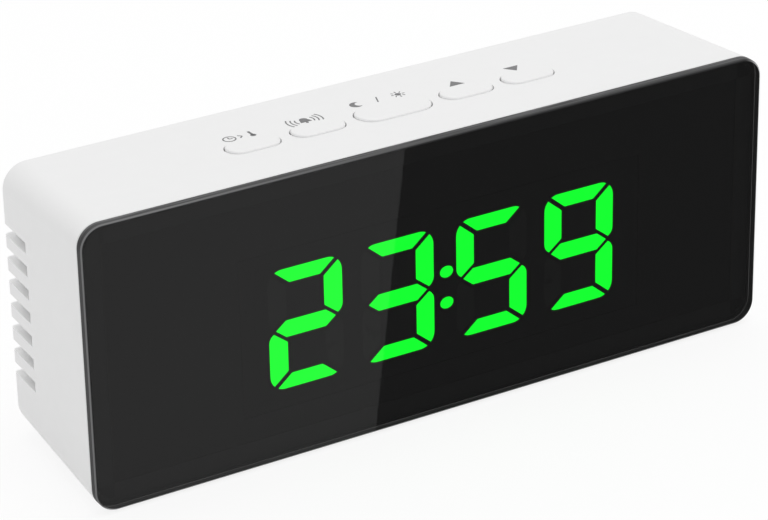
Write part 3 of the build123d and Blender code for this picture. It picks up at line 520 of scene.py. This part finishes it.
ink_grey = (0.15, 0.15, 0.153)
print_line = 0.26 * mm
print_height = 0.02 * mm
top_drop = 1.5 * mm
shell_low, shell_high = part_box("body_shell")
top_fall = top_drop / (shell_high.y - shell_low.y)
top_turn = Matrix.Rotation(-math.atan(top_fall), 4, "X")


def disc(centre, radius, steps=28):
    """A round outline."""
    turn = 2 * math.pi / steps
    return [
        (centre[0] + radius * math.cos(i * turn), centre[1] + radius * math.sin(i * turn))
        for i in range(steps)
    ]


def bar(start, end, width=print_line):
    """A straight line with square ends."""
    along = Vector(end) - Vector(start)
    side = Vector((-along.y, along.x)).normalized() * width / 2
    corners = ((start, 1), (start, -1), (end, -1), (end, 1))
    return [tuple(Vector(point) + way * side) for point, way in corners]


def arc(centre, radius, start, end, width=print_line, steps=20):
    """Part of a ring, between two angles in degrees."""
    outer, inner = [], []
    for i in range(steps + 1):
        angle = math.radians(start + (end - start) * i / steps)
        ray = Vector((math.cos(angle), math.sin(angle)))
        outer.append(tuple(Vector(centre) + ray * (radius + width / 2)))
        inner.append(tuple(Vector(centre) + ray * (radius - width / 2)))
    return outer + inner[::-1]


def ring(centre, radius, width=print_line):
    """A whole ring, as two halves."""
    return [arc(centre, radius, 0, 180, width), arc(centre, radius, 180, 360, width)]


def dial_symbol(x, radius=1.15 * mm, minute_hand=0.8 * mm, hour_hand=0.65 * mm):
    """A small clock dial with two hands."""
    hands = [bar((x, 0), (x, minute_hand)), bar((x, 0), (x + hour_hand, 0))]
    return ring((x, 0), radius) + hands


def thermometer_symbol(x, bulb_radius=0.55 * mm, bulb_y=-0.75 * mm, top_y=1.3 * mm, stem=0.5 * mm):
    """A bulb with a stem above it."""
    return [disc((x, bulb_y), bulb_radius), bar((x, bulb_y), (x, top_y), stem)]


def turn_symbol(tail_x=-0.3 * mm, tip_x=0.35 * mm, rise=0.65 * mm):
    """An angle that points from one symbol to the next."""
    return [bar((tail_x, rise), (tip_x, 0)), bar((tip_x, 0), (tail_x, -rise))]


def bell_symbol(shoulder=0.8 * mm, shoulder_y=0.45 * mm, rim=1.15 * mm, rim_y=-0.75 * mm):
    """A bell with its clapper."""
    dome = arc((0, shoulder_y), shoulder / 2, 0, 180, shoulder)
    skirt = [(-shoulder, shoulder_y), (-rim, rim_y), (rim, rim_y), (shoulder, shoulder_y)]
    clapper = disc((0, rim_y - 0.3 * mm), 0.28 * mm)
    return [dome, skirt, clapper]


def ringing_arcs(radii=(1.8 * mm, 2.6 * mm, 3.4 * mm), opening=32):
    """Sound arcs at both sides of the bell."""
    arcs = []
    for radius in radii:
        for middle in (0, 180):
            arcs.append(arc((0, 0), radius, middle - opening, middle + opening))
    return arcs


def crescent_symbol(x, radius=1.25 * mm, opening=50, step=10):
    """A moon, open to the right by that angle to each side, in degrees."""
    outer, inner = [], []
    for angle in range(opening, 361 - opening, step):
        turn = math.radians(angle)
        outer.append((x + radius * math.cos(turn), radius * math.sin(turn)))
    tips_x = x + radius * math.cos(math.radians(opening))
    reach = radius * math.sin(math.radians(opening))
    for angle in range(step, 180, step):
        turn = math.radians(angle)
        inner.append((tips_x - reach * math.sin(turn), -reach * math.cos(turn)))
    return [outer + inner]


def sun_symbol(x, radius=0.6 * mm, ray_start=0.85 * mm, ray_end=1.4 * mm, ray_width=0.24 * mm):
    """A disc with eight rays."""
    rays = []
    for i in range(8):
        ray = Vector((math.cos(i * math.pi / 4), math.sin(i * math.pi / 4)))
        start, end = ray_start * ray, ray_end * ray
        rays.append(bar((x + start.x, start.y), (x + end.x, end.y), ray_width))
    return [disc((x, 0), radius)] + rays


def slash(reach_x=0.45 * mm, reach_y=1.2 * mm):
    """A slanted line between two symbols."""
    return [bar((-reach_x, -reach_y), (reach_x, reach_y))]


def arrow_head(way, half_width=1.6 * mm, base_y=-1.1 * mm, tip_y=1.2 * mm):
    """A triangle that points up for 1 and down for -1."""
    return [[(-half_width, base_y * way), (half_width, base_y * way), (0, tip_y * way)]]


def print_behind(key, outlines, aside, gap):
    """Prints outlines on the sloped top behind a key, each a thin slab of ink.

    Their middle lies that far to the right of the key's and behind its rear edge.
    """
    key_low, key_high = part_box(f"{key}_button")
    x = (key_low.x + key_high.x) / 2 + aside
    y = key_high.y + gap
    height = lens_high.z - top_fall * (y - shell_low.y)
    mesh = bmesh.new()
    for outline in outlines:
        lower = [mesh.verts.new((px, py, -print_height)) for px, py in outline]
        upper = [mesh.verts.new((px, py, print_height)) for px, py in outline]
        mesh.faces.new(lower[::-1])
        mesh.faces.new(upper)
        for i in range(len(outline)):
            j = (i + 1) % len(outline)
            mesh.faces.new((lower[i], lower[j], upper[j], upper[i]))
    symbol = object_from(f"{key}_symbol", mesh, ink)
    symbol.matrix_world = Matrix.Translation((x, y, height)) @ top_turn
    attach(symbol, "clock")


ink = moulded("print_ink", ink_grey, 0.5, grain=0.08 * mm, depth=0.003 * mm, spread=0.15)

mode_reach, snooze_reach = 2.2 * mm, 4.4 * mm
mode_symbols = dial_symbol(-mode_reach) + turn_symbol() + thermometer_symbol(mode_reach)
alarm_symbols = bell_symbol() + ringing_arcs()
snooze_symbols = crescent_symbol(-snooze_reach) + slash() + sun_symbol(snooze_reach)
print_behind("mode", mode_symbols, aside=0.2 * mm, gap=1.35 * mm)
print_behind("alarm", alarm_symbols, aside=0, gap=1.25 * mm)
print_behind("snooze", snooze_symbols, aside=0.3 * mm, gap=1.65 * mm)
print_behind("up", arrow_head(1), aside=0.4 * mm, gap=1.25 * mm)
print_behind("down", arrow_head(-1), aside=0, gap=1.15 * mm)


# Studio

def seen_or_mirrored(tree):
    """1 for rays from the camera, from a mirroring surface or through glass, otherwise 0."""
    ray = tree.nodes.new("ShaderNodeLightPath").outputs
    mirrored = combined(tree, "MAXIMUM", ray["Is Glossy Ray"], ray["Is Transmission Ray"])
    return combined(tree, "MAXIMUM", ray["Is Camera Ray"], mirrored)


def studio_world():
    """White where it is seen or mirrored, and a soft even light on the object."""
    world = bpy.data.worlds.new("studio")
    bpy.context.scene.world = world
    world.use_nodes = True
    tree = world.node_tree
    strength = between(tree, seen_or_mirrored(tree), world_light, 1.0)
    tree.links.new(strength, tree.nodes["Background"].inputs["Strength"])
    tree.nodes["Background"].inputs["Color"].default_value = (1, 1, 1, 1)


def floor():
    """A wide white floor that keeps a soft share of the object's shadow."""
    bpy.ops.mesh.primitive_circle_add(
        vertices=96, radius=floor_radius, fill_type="NGON", location=(0, 0, -floor_gap)
    )
    ground = bpy.context.object
    ground.name = "floor"
    material, tree, shader = new_material("floor_white")
    tint = mixed_colour(tree, noise(tree, floor_blotch), *floor_shades)
    tree.links.new(tint, shader.inputs["Base Color"])
    shader.inputs["Roughness"].default_value = 1.0
    shader.inputs["Specular IOR Level"].default_value = 0.0
    glow = tree.nodes.new("ShaderNodeEmission")
    mix = tree.nodes.new("ShaderNodeMixShader")
    tree.links.new(between(tree, seen_or_mirrored(tree), 0.0, floor_glow_share), mix.inputs["Fac"])
    tree.links.new(shader.outputs["BSDF"], mix.inputs[1])
    tree.links.new(glow.outputs["Emission"], mix.inputs[2])
    tree.links.new(mix.outputs["Shader"], tree.nodes["Material Output"].inputs["Surface"])
    ground.data.materials.append(material)


def dark_card():
    """A grey card on the floor that only mirroring surfaces see.

    The image of its left edge makes the step of shade across the front.
    """
    along = (card_edge_far - card_edge_near).normalized()
    near = card_edge_near + along * (card_start - card_edge_near.y) / along.y
    far = near + along * card_size
    sideways = Vector((card_size, 0))
    corners = [near, far, far + sideways, near + sideways]
    data = bpy.data.meshes.new("dark_card")
    data.from_pydata([(*corner, card_height) for corner in corners], [], [(0, 1, 2, 3)])
    card = bpy.data.objects.new("dark_card", data)
    bpy.context.scene.collection.objects.link(card)
    material, tree, shader = new_material("card_grey")
    tint = mixed_colour(tree, noise(tree, card_blotch), shaded(card_grey, card_share), card_grey)
    tree.links.new(tint, shader.inputs["Emission Color"])
    shader.inputs["Emission Strength"].default_value = 1.0
    shader.inputs["Base Color"].default_value = (0, 0, 0, 1)
    shader.inputs["Specular IOR Level"].default_value = 0.0
    card.data.materials.append(material)
    card.visible_camera = False
    card.visible_diffuse = False
    card.visible_shadow = False
    card.visible_transmission = False


def lamp(name, place, aim, size, power):
    """A square soft box that shines at the aim."""
    data = bpy.data.lights.new(name, "AREA")
    data.size = size
    data.energy = power
    light = bpy.data.objects.new(name, data)
    bpy.context.scene.collection.objects.link(light)
    light.location = place
    light.rotation_mode = "QUATERNION"
    light.rotation_quaternion = (Vector(aim) - Vector(place)).to_track_quat("-Z", "Y")


world_light = 0.79
floor_radius = 6.0
floor_gap = 0.02 * mm
floor_blotch = 200 * mm
floor_shades = ((0.94, 0.94, 0.94), (0.96, 0.96, 0.96))
floor_glow_share = 0.85

# The card's left edge, from two points whose mirror images lie on the step of shade
card_edge_near = Vector((-8.97 * mm, -25.43 * mm))
card_edge_far = Vector((55.95 * mm, -123.35 * mm))
card_start = -18.5 * mm
card_size = 900 * mm
card_height = 0.3 * mm
card_grey = (0.33, 0.33, 0.33)
card_share = 0.97
card_blotch = 100 * mm

lamp_place = (0.15, -0.15, 1.15)
lamp_size = 0.9
lamp_power = 4.2

studio_world()
floor()
dark_card()
lamp("overhead", lamp_place, (cad_low + cad_high) / 2, lamp_size, lamp_power)


# Camera, from the clock's corners in the photograph

image_width_px = 768
focal_length_px = 3384.2
sensor_width = 36.0
camera_place = Vector((-0.28314, -0.481844, 0.293415))
camera_turn = math.radians(30.31)
camera_dip = math.radians(25.714)
camera_roll = math.radians(-1.1515)

camera_data = bpy.data.cameras.new("camera")
camera_data.sensor_width = sensor_width
camera_data.lens = focal_length_px * sensor_width / image_width_px
camera = bpy.data.objects.new("camera", camera_data)
bpy.context.scene.collection.objects.link(camera)
camera.matrix_world = (
    Matrix.Translation(camera_place)
    @ Matrix.Rotation(-camera_turn, 4, "Z")
    @ Matrix.Rotation(math.pi / 2 - camera_dip, 4, "X")
    @ Matrix.Rotation(camera_roll, 4, "Z")
)
bpy.context.scene.camera = camera
bpy.context.scene.view_settings.view_transform = "Standard"
